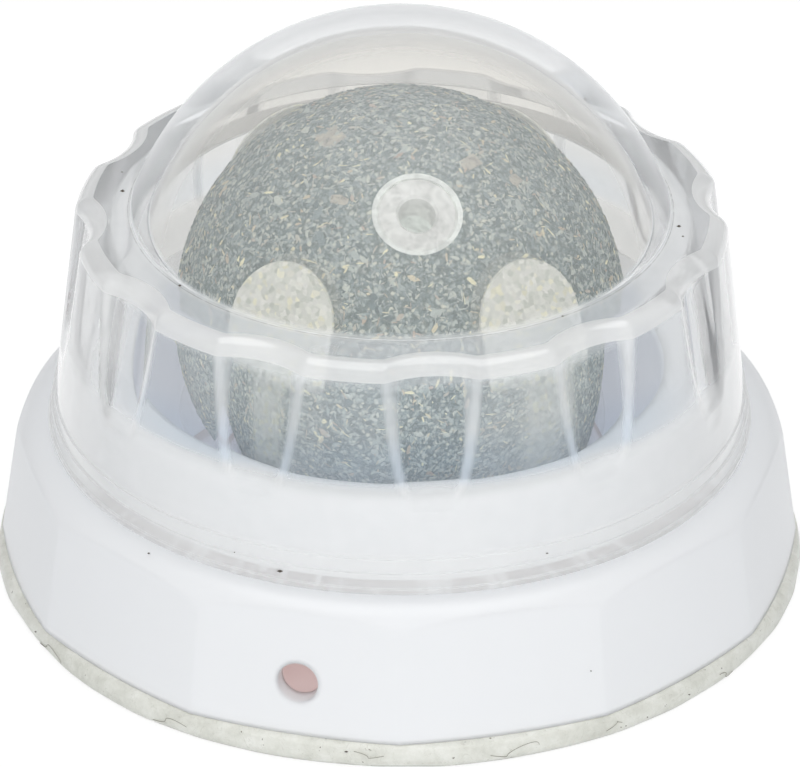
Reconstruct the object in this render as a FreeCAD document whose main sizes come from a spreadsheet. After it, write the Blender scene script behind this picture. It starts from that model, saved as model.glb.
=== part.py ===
# Silvervine ball toy: a pressed silvervine ball that turns in four soft claws, set in a white
# twelve-sided base with a gel pad under it and a clear fluted dust cover over it.
# Frame: origin at the middle of the pad's underside, +Z up, -Y is the front. Millimetres, degrees.
# A bearing is counted from the front towards +X.

import FreeCAD, Part
import math
import os
import Sketcher

Vector = FreeCAD.Vector

# Driving dimensions

SIZES = {
    "pad_overlap": (0.4, "gel pad, how far it stands out past the base's corners"),
    "pad_thickness": (1.75, "gel pad, thickness"),
    "pad_edge_round": (0.5, "gel pad, rounding of its edge"),
    "base_height": (10.25, "base, foot to deck"),
    "facet_count": (12, "base, number of sides"),
    "facet_bow": (0.6, "base, how far the middle of a side stands out past its corners"),
    "facet_draft": (8.6, "base, draft of the sides in degrees"),
    "facet_edge_round": (0.5, "base, rounding of the edges between the sides"),
    "deck_margin": (0.05, "base, how far the flat deck reaches past the cover's lip"),
    "shoulder_setback": (1.13, "base, how far the sides' planes lie outside the deck at its height"),
    "shoulder_radius": (2.5, "base, radius of the rounded shoulder round the deck"),
    "shell_wall": (1.4, "base, moulded wall"),
    "collar_height": (5.7, "collar, height above the deck"),
    "collar_width": (2.7, "collar, width of its foot outside the wall round the cup"),
    "collar_round": (0.9, "collar, rounding of its upper edges"),
    "opening_gap": (1.2, "collar, gap between its opening and the claws"),
    "side_hole_radius": (1.5, "hole in one side, radius"),
    "side_hole_height": (4.0, "hole in one side, height above the base's foot"),
    "side_hole_bearing": (-14.4, "hole in one side, bearing in degrees"),
    "plate_thickness": (1.0, "bottom plate, thickness"),
    "plate_clearance": (0.15, "bottom plate, clearance to the base's wall"),
    "ball_radius": (16.6, "ball, radius"),
    "ball_clearance": (0.3, "running gap between ball and claws"),
    "claw_wall": (1.2, "claws and bowl, wall"),
    "cup_floor": (1.0, "bowl, floor under the ball"),
    "bowl_rim_latitude": (25.0, "bowl, rim below the ball's equator in degrees"),
    "claw_root_latitude": (35.0, "claws, roots in the bowl below the ball's equator in degrees"),
    "claw_tip_latitude": (36.0, "claws, tips above the ball's equator in degrees"),
    "claw_width": (8.4, "claws, width"),
    "claw_spare": (0.8, "claws, spare of the turned strip that each arched claw is cut from"),
    "claw_bearing": (33.0, "claws, half the angle between the front pair in degrees"),
    "claw_turn": (1.75, "claws, turn of the whole cup from the front in degrees"),
    "core_radius": (3.28, "core tube, outer radius"),
    "core_wall": (0.35, "core tube, wall"),
    "core_recess": (0.1, "core tube, how far each end lies under the ball's skin"),
    "core_elevation": (53.8, "core tube, tilt of its upper end above the horizontal in degrees"),
    "core_bearing": (7.1, "core tube, bearing of its upper end in degrees"),
    "plug_bore_radius": (1.35, "core plugs, radius of the hole"),
    "plug_disc": (0.8, "core plugs, thickness of the disc"),
    "plug_sleeve_wall": (0.5, "core plugs, wall of the sleeve behind the disc"),
    "plug_length": (3.0, "core plugs, length over all"),
    "plug_chamfer": (0.2, "core plugs, chamfer of the disc's edge and of the hole's mouth"),
    "cover_clearance": (0.3, "gap between cover and collar"),
    "cover_lip_width": (2.55, "cover, width of the thin lip on the deck"),
    "cover_lip_height": (0.45, "cover, height of the lip"),
    "cover_lip_step": (0.25, "cover, how far the lip stands out past the foot above it"),
    "cover_foot_height": (1.55, "cover, top of the foot above the deck"),
    "cover_foot_step": (0.2, "cover, how far the foot stands out past the bead above it"),
    "cover_foot_round": (0.15, "cover, rounding of the foot's upper edge"),
    "cover_bead_height": (2.6, "cover, top of the bead above the deck"),
    "cover_bead_step": (0.15, "cover, how far the bead stands out past the skirt above it"),
    "skirt_taper": (1.75, "cover, how far the skirt draws in from the bead up to the shoulder"),
    "cover_shoulder_wall": (1.4, "cover, thickness of the flat shoulder"),
    "cover_edge_round": (1.2, "cover, rounding of the wavy outer edge"),
    "dome_gap": (2.5, "dome, gap between the ball and its inside"),
    "dome_wall": (2.0, "dome, wall"),
    "dome_lift": (1.65, "dome, centre above the ball's centre"),
    "dome_rise": (6.95, "dome, flat shoulder above the dome's centre"),
    "dome_root_round": (0.3, "dome, rounding where it meets the shoulder"),
    "flute_count": (12, "flutes round the skirt"),
    "flute_bearing": (5.4, "flutes, bearing of the first in degrees"),
    "flute_radius": (7.2, "flutes, radius of the scoop"),
    "flute_depth": (1.1, "flutes, depth at the shoulder"),
    "flute_foot_height": (6.3, "flutes, where they run out above the deck"),
    "flute_floor_wall": (1.35, "flutes, wall left behind them at the shoulder"),
}

# Heights that follow from the driving dimensions

DECK = "(size.pad_thickness + size.base_height)"
PLATE_TOP = "(size.pad_thickness + size.plate_thickness)"
FLANGE_TOP = "(size.plate_thickness + size.cup_floor)"
COLLAR_TOP = "(size.base_height + size.collar_height)"
BOWL_RADIUS = "(size.ball_radius + size.ball_clearance)"
BALL_HEIGHT = f"({PLATE_TOP} + size.cup_floor + {BOWL_RADIUS})"
DOME_CENTRE = f"({BALL_HEIGHT} + size.dome_lift - {DECK})"
COVER_SHOULDER = f"({DOME_CENTRE} + size.dome_rise)"
SHOULDER_UNDER = f"({COVER_SHOULDER} - size.cover_shoulder_wall)"

# Radii that follow, each piece outside the one before it, from the ball out to the pad

CLAW_RADIUS = f"({BOWL_RADIUS} + size.claw_wall)"
CUP_FOOT = f"({BOWL_RADIUS} + size.cup_floor)"
OPENING_RADIUS = f"({CLAW_RADIUS} + size.opening_gap)"
CUP_WALL_RADIUS = f"({OPENING_RADIUS} + size.shell_wall)"
COLLAR_FOOT_RADIUS = f"({CUP_WALL_RADIUS} + size.collar_width)"
MOUTH_RADIUS = f"({COLLAR_FOOT_RADIUS} + size.cover_clearance)"
LIP_RADIUS = f"({MOUTH_RADIUS} + size.cover_lip_width)"
FOOT_RADIUS = f"({LIP_RADIUS} - size.cover_lip_step)"
BEAD_RADIUS = f"({FOOT_RADIUS} - size.cover_foot_step)"
SKIRT_FOOT_RADIUS = f"({BEAD_RADIUS} - size.cover_bead_step)"
SKIRT_TOP_RADIUS = f"({SKIRT_FOOT_RADIUS} - size.skirt_taper)"
SKIRT_INNER_TOP = f"({SKIRT_TOP_RADIUS} - size.flute_depth - size.flute_floor_wall)"
COVER_INNER_SLOPE = f"(({MOUTH_RADIUS} - {SKIRT_INNER_TOP}) / {SHOULDER_UNDER})"
COLLAR_TOP_RADIUS = f"({COLLAR_FOOT_RADIUS} - size.collar_height * {COVER_INNER_SLOPE})"
DOME_INNER = "(size.ball_radius + size.dome_gap)"
DOME_RADIUS = f"({DOME_INNER} + size.dome_wall)"
DECK_RADIUS = f"({LIP_RADIUS} + size.deck_margin)"
SIDE_SPREAD = "(size.base_height * tan(size.facet_draft))"
FACET_INRADIUS = f"({DECK_RADIUS} + size.shoulder_setback + {SIDE_SPREAD})"
CORNER_RADIUS = f"({FACET_INRADIUS} / cos(180 / size.facet_count))"
PAD_RADIUS = f"({CORNER_RADIUS} + size.pad_overlap)"
CORE_END = "(sqrt(size.ball_radius ^ 2 - size.core_radius ^ 2) - size.core_recess)"
CORE_BORE_RADIUS = "(size.core_radius - size.core_wall)"

TOLERANCE = 1e-4

doc = FreeCAD.newDocument("silvervine_ball_toy")
sheet = doc.addObject("Spreadsheet::Sheet", "size")
for row, (alias, (number, note)) in enumerate(SIZES.items(), start=1):
    sheet.set(f"A{row}", note)
    sheet.set(f"B{row}", str(number))
    sheet.setAlias(f"B{row}", alias)
doc.recompute()


def number(expression):
    """The value of an expression over the sheet."""
    result = sheet.evalExpression(str(expression))
    return float(getattr(result, "Value", result))


# Sketch and feature helpers

def new_body(label, height="0"):
    """A body with its own label, standing at a height above the origin."""
    body = doc.addObject("PartDesign::Body", label)
    body.Label = label
    body.setExpression(".Placement.Base.z", height)
    return body


def origin_feature(body, role):
    return next(item for item in body.Origin.OriginFeatures if item.Role == role)


def new_sketch(body, name, plane="XZ_Plane", facing="0", reach="0", height="0"):
    """A sketch on an origin plane; an upright one faces a bearing and stands out towards it."""
    sketch = body.newObject("Sketcher::SketchObject", name)
    sketch.AttachmentSupport = [(origin_feature(body, plane), "")]
    sketch.MapMode = "FlatFace"
    if plane == "XZ_Plane":
        turn = FreeCAD.Rotation(Vector(0, 1, 0), 1.0)
        sketch.AttachmentOffset = FreeCAD.Placement(Vector(), turn)
        sketch.setExpression(".AttachmentOffset.Rotation.Angle", facing)
        sketch.setExpression(".AttachmentOffset.Base.x", f"({reach}) * sin({facing})")
        sketch.setExpression(".AttachmentOffset.Base.z", f"({reach}) * cos({facing})")
    else:
        sketch.setExpression(".AttachmentOffset.Base.z", height)
    return sketch


def place_point(sketch, geometry, point, across, up):
    """Holds a sketch point at its distances from the origin, or on an axis where one is nought."""
    for kind, axis, expression in (("DistanceX", -2, across), ("DistanceY", -1, up)):
        distance = number(expression)
        if abs(distance) < TOLERANCE:
            sketch.addConstraint(Sketcher.Constraint("PointOnObject", geometry, point, axis))
            continue
        index = sketch.addConstraint(Sketcher.Constraint(kind, -1, 1, geometry, point, distance))
        sketch.setExpression(f"Constraints[{index}]", expression)


def outline(sketch, corners):
    """Closes an outline through corners. Each is (across, up) in expressions, and one that
    starts an arc adds its radius and the side, "left" or "right", that the arc turns to."""
    places = [Vector(number(corner[0]), number(corner[1]), 0) for corner in corners]
    starts = []
    for index, corner in enumerate(corners):
        here = places[index]
        there = places[(index + 1) % len(places)]
        if len(corner) == 2:
            edge = sketch.addGeometry(Part.LineSegment(here, there), False)
            starts.append((edge, 1, 2))
            continue
        radius = number(corner[2])
        left = corner[3] == "left"
        chord = there - here
        normal = Vector(-chord.y, chord.x, 0) / chord.Length
        rise = math.sqrt(radius ** 2 - (chord.Length / 2) ** 2)
        centre = (here + there) / 2 + normal * (rise if left else -rise)
        first, last = (here, there) if left else (there, here)
        begin = math.atan2(first.y - centre.y, first.x - centre.x)
        end = math.atan2(last.y - centre.y, last.x - centre.x)
        circle = Part.Circle(centre, Vector(0, 0, 1), radius)
        edge = sketch.addGeometry(Part.ArcOfCircle(circle, begin, end), False)
        index_radius = sketch.addConstraint(Sketcher.Constraint("Radius", edge, radius))
        sketch.setExpression(f"Constraints[{index_radius}]", corner[2])
        starts.append((edge, 1, 2) if left else (edge, 2, 1))
    for index, (edge, start, end) in enumerate(starts):
        follower, follower_start, _ = starts[(index + 1) % len(starts)]
        sketch.addConstraint(Sketcher.Constraint("Coincident", edge, end, follower, follower_start))
        place_point(sketch, edge, start, corners[index][0], corners[index][1])


def circle_outline(sketch, radius, across="0", up="0"):
    middle = Vector(number(across), number(up), 0)
    circle = Part.Circle(middle, Vector(0, 0, 1), number(radius))
    edge = sketch.addGeometry(circle, False)
    index = sketch.addConstraint(Sketcher.Constraint("Radius", edge, number(radius)))
    sketch.setExpression(f"Constraints[{index}]", radius)
    place_point(sketch, edge, 3, across, up)


def polygon_outline(sketch, inradius):
    """A regular polygon with as many sides as the base, one corner on the +X axis. Each side is
    bowed outwards; the inradius is measured to the chord between its corners."""
    half_side = f"(({inradius}) * tan(180 / size.facet_count))"
    bow_radius = f"(({half_side} ^ 2 + size.facet_bow ^ 2) / (2 * size.facet_bow))"
    corner_radius = f"(({inradius}) / cos(180 / size.facet_count))"
    corners = []
    for side in range(round(number("size.facet_count"))):
        bearing = f"({side} * 360 / size.facet_count)"
        across = f"{corner_radius} * cos({bearing})"
        up = f"{corner_radius} * sin({bearing})"
        corners.append((across, up, bow_radius, "left"))
    outline(sketch, corners)


def extrude(body, kind, name, sketch, length, draft="0", reverse=False):
    """A Pad or Pocket of a sketch; its volume step is checked."""
    before = body.Shape.Volume if body.Tip else 0.0
    feature = body.newObject("PartDesign::" + kind, name)
    feature.Profile = sketch
    feature.Reversed = reverse
    feature.setExpression("Length", length)
    if draft != "0":
        feature.setExpression("TaperAngle", draft)
    return finish_feature(body, feature, before, grows=kind == "Pad")


def turn(body, kind, name, sketch, angle="360", axis="V_Axis", midplane=False):
    """A Revolution or Groove of a sketch about one of its axes; its volume step is checked."""
    before = body.Shape.Volume if body.Tip else 0.0
    feature = body.newObject("PartDesign::" + kind, name)
    feature.Profile = sketch
    feature.ReferenceAxis = (sketch, [axis])
    feature.Midplane = midplane
    feature.setExpression("Angle", angle)
    return finish_feature(body, feature, before, grows=kind == "Revolution")


def finish_feature(body, feature, before, grows):
    sketch = feature.Profile[0]
    sketch.Visibility = False
    doc.recompute()
    change = feature.Shape.Volume - before
    if (change <= 0) if grows else (change >= 0):
        raise RuntimeError(f"{feature.Name} changes the volume of {body.Label} by {change:.3f}")
    return feature


def round_edges(body, base, name, radius, wanted, kind="Fillet"):
    """Fillets or chamfers the edges of a feature that a test picks."""
    edges = list(enumerate(base.Shape.Edges, start=1))
    names = [f"Edge{place}" for place, edge in edges if not edge.Degenerated and wanted(edge)]
    if not names:
        raise RuntimeError(f"{name} finds no edge on {body.Label}")
    feature = body.newObject("PartDesign::" + kind, name)
    feature.Base = (base, names)
    feature.setExpression("Radius" if kind == "Fillet" else "Size", radius)
    doc.recompute()
    if not feature.isValid():
        raise RuntimeError(f"{name} does not fit on {body.Label}")
    return feature


def ring_test(*rings):
    """A test for the circular edges about the Z axis at given radii and heights."""
    wanted = [(number(radius), number(height)) for radius, height in rings]

    def test(edge):
        if not isinstance(edge.Curve, Part.Circle):
            return False
        centre = edge.Curve.Center
        if math.hypot(centre.x, centre.y) > TOLERANCE:
            return False
        found = (edge.Curve.Radius, centre.z)
        return any(math.dist(found, ring) < 10 * TOLERANCE for ring in wanted)

    return test


# Gel pad

pad = new_body("adhesive_pad")
pad_sketch = new_sketch(pad, "pad_outline", "XY_Plane")
circle_outline(pad_sketch, PAD_RADIUS)
pad_disc = extrude(pad, "Pad", "pad_disc", pad_sketch, "size.pad_thickness")
pad_rings = ring_test((PAD_RADIUS, "0"), (PAD_RADIUS, "size.pad_thickness"))
round_edges(pad, pad_disc, "pad_edge", "size.pad_edge_round", pad_rings)

# Bottom plate, which closes the base and carries the bowl

plate = new_body("bottom_plate", "size.pad_thickness")
plate_sketch = new_sketch(plate, "plate_outline", "XY_Plane")
PLATE_INRADIUS = f"{FACET_INRADIUS} - size.shell_wall - size.plate_clearance"
PLATE_DRAFT = "-size.facet_draft"
polygon_outline(plate_sketch, PLATE_INRADIUS)
extrude(plate, "Pad", "plate_disc", plate_sketch, "size.plate_thickness", PLATE_DRAFT)

# White base: twelve drafted sides under a round shoulder, a deck, a collar and a hollow inside

base = new_body("base_shell", "size.pad_thickness")
base_sketch = new_sketch(base, "base_outline", "XY_Plane")
polygon_outline(base_sketch, FACET_INRADIUS)
base_block = extrude(base, "Pad", "base_block", base_sketch, "size.base_height", "-size.facet_draft")


def is_facet_edge(edge):
    """True for the sloping edges between two sides."""
    low, high = sorted(vertex.Z for vertex in edge.Vertexes)
    return high - low > number("size.base_height") / 2


round_edges(base, base_block, "facet_edges", "size.facet_edge_round", is_facet_edge)

shoulder_sketch = new_sketch(base, "shoulder_cut")
SHOULDER_OUT = f"({DECK_RADIUS} + size.shoulder_radius)"
SHOULDER_FOOT = "(size.base_height - size.shoulder_radius)"
BEYOND = f"({CORNER_RADIUS} + size.shoulder_radius)"
outline(shoulder_sketch, [
    (SHOULDER_OUT, SHOULDER_FOOT, "size.shoulder_radius", "left"),
    (DECK_RADIUS, "size.base_height"),
    (BEYOND, "size.base_height"),
    (BEYOND, "0"),
])
turn(base, "Groove", "shoulder", shoulder_sketch)

collar_sketch = new_sketch(base, "collar_outline")
outline(collar_sketch, [
    ("0", "size.base_height"),
    (COLLAR_FOOT_RADIUS, "size.base_height"),
    (COLLAR_TOP_RADIUS, COLLAR_TOP),
    ("0", COLLAR_TOP),
])
turn(base, "Revolution", "collar", collar_sketch)

hollow_sketch = new_sketch(base, "hollow_outline", "XY_Plane")
polygon_outline(hollow_sketch, f"{FACET_INRADIUS} - size.shell_wall")
HOLLOW_HEIGHT = "(size.base_height - size.shell_wall)"
extrude(base, "Pocket", "hollow", hollow_sketch, HOLLOW_HEIGHT, "-size.facet_draft", reverse=True)

opening_sketch = new_sketch(base, "opening_outline", "XY_Plane")
circle_outline(opening_sketch, OPENING_RADIUS)
extrude(base, "Pocket", "opening", opening_sketch, COLLAR_TOP, reverse=True)

cup_wall_sketch = new_sketch(base, "cup_wall_outline")
outline(cup_wall_sketch, [
    (OPENING_RADIUS, FLANGE_TOP),
    (CUP_WALL_RADIUS, FLANGE_TOP),
    (CUP_WALL_RADIUS, COLLAR_TOP),
    (OPENING_RADIUS, COLLAR_TOP),
])
turn(base, "Revolution", "cup_wall", cup_wall_sketch)

slot_sketch = new_sketch(base, "collar_hollow_outline")
SLOT_OUTER = f"({COLLAR_FOOT_RADIUS} - size.shell_wall)"
SLOT_OUTER_TOP = f"({COLLAR_TOP_RADIUS} - size.shell_wall)"
SLOT_TOP = f"({COLLAR_TOP} - size.shell_wall)"
outline(slot_sketch, [
    (CUP_WALL_RADIUS, HOLLOW_HEIGHT),
    (SLOT_OUTER, HOLLOW_HEIGHT),
    (SLOT_OUTER_TOP, SLOT_TOP),
    (CUP_WALL_RADIUS, SLOT_TOP),
])
collar_hollow = turn(base, "Groove", "collar_hollow", slot_sketch)

collar_edges = ring_test((COLLAR_TOP_RADIUS, COLLAR_TOP), (OPENING_RADIUS, COLLAR_TOP))
round_edges(base, collar_hollow, "collar_edges", "size.collar_round", collar_edges)

SIDE_HOLE_START = f"({FACET_INRADIUS} - 3 * size.shell_wall)"
hole_sketch = new_sketch(base, "side_hole_outline", facing="size.side_hole_bearing",
                         reach=SIDE_HOLE_START)
circle_outline(hole_sketch, "size.side_hole_radius", up="size.side_hole_height")
extrude(base, "Pocket", "side_hole", hole_sketch, "4 * size.shell_wall", reverse=True)

# Claw cup: a bowl under the ball with a flange, and four claws that reach over the equator

cup = new_body("claw_cup", BALL_HEIGHT)


def on_sphere(radius, latitude):
    """The place of a latitude on a sphere about the ball's centre, as expressions."""
    return f"{radius} * cos({latitude})", f"{radius} * sin({latitude})"


BOWL_RIM = "(-size.bowl_rim_latitude)"
bowl_sketch = new_sketch(cup, "bowl_outline")
rim_out = on_sphere(CLAW_RADIUS, BOWL_RIM)
rim_in = on_sphere(BOWL_RADIUS, BOWL_RIM)
FLANGE_UPPER = f"(-{BOWL_RADIUS})"
FLANGE_MEETS = f"sqrt({CLAW_RADIUS} ^ 2 - {BOWL_RADIUS} ^ 2)"
outline(bowl_sketch, [
    ("0", f"(-{CUP_FOOT})"),
    (CUP_WALL_RADIUS, f"(-{CUP_FOOT})"),
    (CUP_WALL_RADIUS, FLANGE_UPPER),
    (FLANGE_MEETS, FLANGE_UPPER, CLAW_RADIUS, "left"),
    rim_out,
    rim_in + (BOWL_RADIUS, "right"),
    ("0", FLANGE_UPPER),
])
turn(cup, "Revolution", "bowl", bowl_sketch)

CLAW_HALF = "(size.claw_width / 2)"
CLAW_TIP = f"({CLAW_RADIUS} * sin(size.claw_tip_latitude))"
CLAW_ARCH = f"({CLAW_TIP} - {CLAW_HALF})"
STRIP_REACH = f"({BOWL_RADIUS} * cos(size.bowl_rim_latitude))"
STRIP_ANGLE = f"2 * asin(({CLAW_HALF} + size.claw_spare) / {STRIP_REACH})"
STRIP_TOP = f"asin(({CLAW_TIP} + size.claw_spare) / {BOWL_RADIUS})"
CLAW_ROOT = "(-size.claw_root_latitude)"
TRIM_FOOT = f"(-({CLAW_RADIUS} + {BOWL_RADIUS}) / 2 * sin(size.bowl_rim_latitude))"
claw_bearings = {
    "front_right": "size.claw_turn + size.claw_bearing",
    "rear_right": "size.claw_turn + 180 - size.claw_bearing",
    "rear_left": "size.claw_turn + 180 + size.claw_bearing",
    "front_left": "size.claw_turn - size.claw_bearing",
}


def turn_strip(name, bearing):
    """A strip of the bowl's sphere that runs up over the equator."""
    sketch = new_sketch(cup, f"strip_{name}_outline", facing=f"{bearing} - 90")
    outline(sketch, [
        on_sphere(CLAW_RADIUS, CLAW_ROOT) + (CLAW_RADIUS, "left"),
        on_sphere(CLAW_RADIUS, STRIP_TOP),
        on_sphere(BOWL_RADIUS, STRIP_TOP) + (BOWL_RADIUS, "right"),
        on_sphere(BOWL_RADIUS, CLAW_ROOT),
    ])
    turn(cup, "Revolution", f"strip_{name}", sketch, STRIP_ANGLE, midplane=True)


def cut_claw(name, bearing):
    """Cuts a strip to an upright claw with a round arch for its tip."""
    sketch = new_sketch(cup, f"claw_{name}_outline", facing=bearing, reach=CLAW_RADIUS)
    outline(sketch, [
        (f"(-{CLAW_HALF})", TRIM_FOOT),
        (f"(-{CLAW_HALF})", CLAW_ARCH, CLAW_HALF, "right"),
        ("0", CLAW_TIP, CLAW_HALF, "right"),
        (CLAW_HALF, CLAW_ARCH),
        (CLAW_HALF, TRIM_FOOT),
        ("size.claw_width", TRIM_FOOT),
        ("size.claw_width", CLAW_RADIUS),
        ("(-size.claw_width)", CLAW_RADIUS),
        ("(-size.claw_width)", TRIM_FOOT),
    ])
    extrude(cup, "Pocket", f"claw_{name}", sketch, f"({CLAW_RADIUS} / 2)")


for claw_name, claw_bearing in claw_bearings.items():
    turn_strip(claw_name, claw_bearing)
    cut_claw(claw_name, claw_bearing)

# Ball of pressed silvervine with a through bore for its core, modelled along the bore


def tilt(body):
    """Sets a body at the ball's centre with its own Z axis along the core."""
    body.Placement = FreeCAD.Placement(Vector(), FreeCAD.Rotation(Vector(1, 0, 0), 1.0))
    body.setExpression(".Placement.Base.z", BALL_HEIGHT)
    body.setExpression(".Placement.Rotation.Angle", "90 - size.core_elevation")
    body.setExpression(".Placement.Rotation.Axis.x", "cos(size.core_bearing)")
    body.setExpression(".Placement.Rotation.Axis.y", "sin(size.core_bearing)")
    body.setExpression(".Placement.Rotation.Axis.z", "0")


ball = new_body("silvervine_ball")
tilt(ball)
ball_sketch = new_sketch(ball, "ball_outline")
BALL_BORE_END = "sqrt(size.ball_radius ^ 2 - size.core_radius ^ 2)"
outline(ball_sketch, [
    ("size.core_radius", f"(-{BALL_BORE_END})", "size.ball_radius", "left"),
    ("size.core_radius", BALL_BORE_END),
])
turn(ball, "Revolution", "ball_round", ball_sketch)

core = new_body("core_tube")
tilt(core)
core_sketch = new_sketch(core, "core_outline")
outline(core_sketch, [
    (CORE_BORE_RADIUS, f"(-{CORE_END})"),
    ("size.core_radius", f"(-{CORE_END})"),
    ("size.core_radius", CORE_END),
    (CORE_BORE_RADIUS, CORE_END),
])
turn(core, "Revolution", "core_round", core_sketch)

for plug_name, side in (("core_plug_upper", "1"), ("core_plug_lower", "-1")):
    plug = new_body(plug_name)
    tilt(plug)
    plug_sketch = new_sketch(plug, f"{plug_name}_outline")
    SLEEVE_RADIUS = "(size.plug_bore_radius + size.plug_sleeve_wall)"
    plug_corners = [
        ("size.plug_bore_radius", f"{CORE_END} - size.plug_length"),
        (SLEEVE_RADIUS, f"{CORE_END} - size.plug_length"),
        (SLEEVE_RADIUS, f"{CORE_END} - size.plug_disc"),
        (CORE_BORE_RADIUS, f"{CORE_END} - size.plug_disc"),
        (CORE_BORE_RADIUS, CORE_END),
        ("size.plug_bore_radius", CORE_END),
    ]
    outline(plug_sketch, [(across, f"{side} * ({up})") for across, up in plug_corners])
    plug_round = turn(plug, "Revolution", f"{plug_name}_round", plug_sketch)
    face_height = f"{side} * {CORE_END}"
    rims = ring_test(("size.plug_bore_radius", face_height), (CORE_BORE_RADIUS, face_height))
    round_edges(plug, plug_round, f"{plug_name}_rims", "size.plug_chamfer", rims, "Chamfer")

# Dust cover: dome, flat shoulder, fluted skirt, bead and foot flange

cover = new_body("dust_cover", DECK)
cover_sketch = new_sketch(cover, "cover_outline")
DOME_ROOT = f"sqrt({DOME_RADIUS} ^ 2 - size.dome_rise ^ 2)"
DOME_INNER_RISE = "(size.dome_rise - size.cover_shoulder_wall)"
DOME_INNER_ROOT = f"sqrt({DOME_INNER} ^ 2 - {DOME_INNER_RISE} ^ 2)"
outline(cover_sketch, [
    (MOUTH_RADIUS, "0"),
    (LIP_RADIUS, "0"),
    (LIP_RADIUS, "size.cover_lip_height"),
    (FOOT_RADIUS, "size.cover_lip_height"),
    (FOOT_RADIUS, "size.cover_foot_height"),
    (BEAD_RADIUS, "size.cover_foot_height"),
    (BEAD_RADIUS, "size.cover_bead_height"),
    (SKIRT_FOOT_RADIUS, "size.cover_bead_height"),
    (SKIRT_TOP_RADIUS, COVER_SHOULDER),
    (DOME_ROOT, COVER_SHOULDER, DOME_RADIUS, "left"),
    ("0", f"{DOME_CENTRE} + {DOME_RADIUS}"),
    ("0", f"{DOME_CENTRE} + {DOME_INNER}", DOME_INNER, "right"),
    (DOME_INNER_ROOT, SHOULDER_UNDER),
    (SKIRT_INNER_TOP, SHOULDER_UNDER),
])
cover_round = turn(cover, "Revolution", "cover_round", cover_sketch)

foot_edge = ring_test((FOOT_RADIUS, "size.cover_foot_height"))
cover_foot = round_edges(cover, cover_round, "cover_foot_edge", "size.cover_foot_round", foot_edge)
root_edge = ring_test((DOME_ROOT, COVER_SHOULDER))
dome_root = round_edges(cover, cover_foot, "dome_root", "size.dome_root_round", root_edge)

# One flute is a round scoop, tilted so that it runs out of the skirt before the bead
flute_sketch = new_sketch(cover, "flute_outline", facing="size.flute_bearing - 90")
FLUTE_RISE = f"({COVER_SHOULDER} - size.flute_foot_height)"
SKIRT_RISE = f"({COVER_SHOULDER} - size.cover_bead_height)"
FLOOR_FOOT = f"({SKIRT_TOP_RADIUS} + size.skirt_taper * {FLUTE_RISE} / {SKIRT_RISE})"
FLOOR_TOP = f"({SKIRT_TOP_RADIUS} - size.flute_depth)"
FLUTE_RUN = f"({FLOOR_FOOT} - {FLOOR_TOP})"
FLUTE_LENGTH = f"sqrt({FLUTE_RISE} ^ 2 + {FLUTE_RUN} ^ 2)"


def on_flute(share, out):
    """A place at a share of the flute's length, so far out from its floor."""
    across = f"{FLOOR_FOOT} - {share} * {FLUTE_RUN} + {out} * {FLUTE_RISE} / {FLUTE_LENGTH}"
    up = f"{out} * {FLUTE_RUN} / {FLUTE_LENGTH}"
    return across, f"size.flute_foot_height + {share} * {FLUTE_RISE} + {up}"


PAST_SHOULDER = "1.1"  # the scoop's end as a share of the flute's length, above the shoulder
axis_foot = on_flute("0", "size.flute_radius")
axis_top = on_flute(PAST_SHOULDER, "size.flute_radius")
outline(flute_sketch, [axis_foot, axis_top, on_flute(PAST_SHOULDER, "0"), on_flute("0", "0")])
axis_ends = [Vector(number(across), number(up), 0) for across, up in (axis_foot, axis_top)]
axis_edge = flute_sketch.addGeometry(Part.LineSegment(*axis_ends), True)
flute_sketch.addConstraint(Sketcher.Constraint("Coincident", axis_edge, 1, 0, 1))
flute_sketch.addConstraint(Sketcher.Constraint("Coincident", axis_edge, 2, 0, 2))
flute = turn(cover, "Groove", "flute", flute_sketch, axis="Axis0")

flutes = cover.newObject("PartDesign::PolarPattern", "flutes")
flutes.Originals = [flute]
flutes.Axis = (origin_feature(cover, "Z_Axis"), [""])
flutes.Angle = 360
flutes.setExpression("Occurrences", "size.flute_count")
cover.Tip = flutes
doc.recompute()


def is_wavy_edge(edge):
    """True for the edges of the shoulder's outer outline."""
    top = number(COVER_SHOULDER)
    flat = all(abs(vertex.Z - top) < TOLERANCE for vertex in edge.Vertexes)
    middle = edge.valueAt((edge.FirstParameter + edge.LastParameter) / 2)
    outer = math.hypot(middle.x, middle.y) > number(f"({DOME_ROOT} + {FLOOR_TOP}) / 2")
    return flat and outer and abs(middle.z - top) < TOLERANCE


round_edges(cover, flutes, "wavy_edge", "size.cover_edge_round", is_wavy_edge)

# Checks and files

doc.recompute()
for item in doc.Objects:
    if "Invalid" in item.State or "Error" in item.State:
        raise RuntimeError(f"{item.Name} did not build: {item.State}")

bodies = [item for item in doc.Objects if item.TypeId == "PartDesign::Body"]
os.makedirs("parts", exist_ok=True)
for body in bodies:
    shape = body.Shape
    if shape.isNull() or not shape.isValid() or len(shape.Solids) != 1:
        raise RuntimeError(f"{body.Label} is not one valid solid")
    shape.exportStep(os.path.join("parts", body.Label + ".step"))
    box = shape.optimalBoundingBox()
    print(f"{body.Label}: {shape.Volume:.1f} mm3, {box.XLength:.2f} x {box.YLength:.2f} x "
          f"{box.ZLength:.2f} mm, z {box.ZMin:.2f} to {box.ZMax:.2f}")
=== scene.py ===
"""Silvervine ball toy: looks of the ball, claws, base, gel pad and dust cover round the CAD frame."""
import math
import random

import bpy
import numpy as np
from mathutils import Euler, Matrix, Vector


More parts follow.
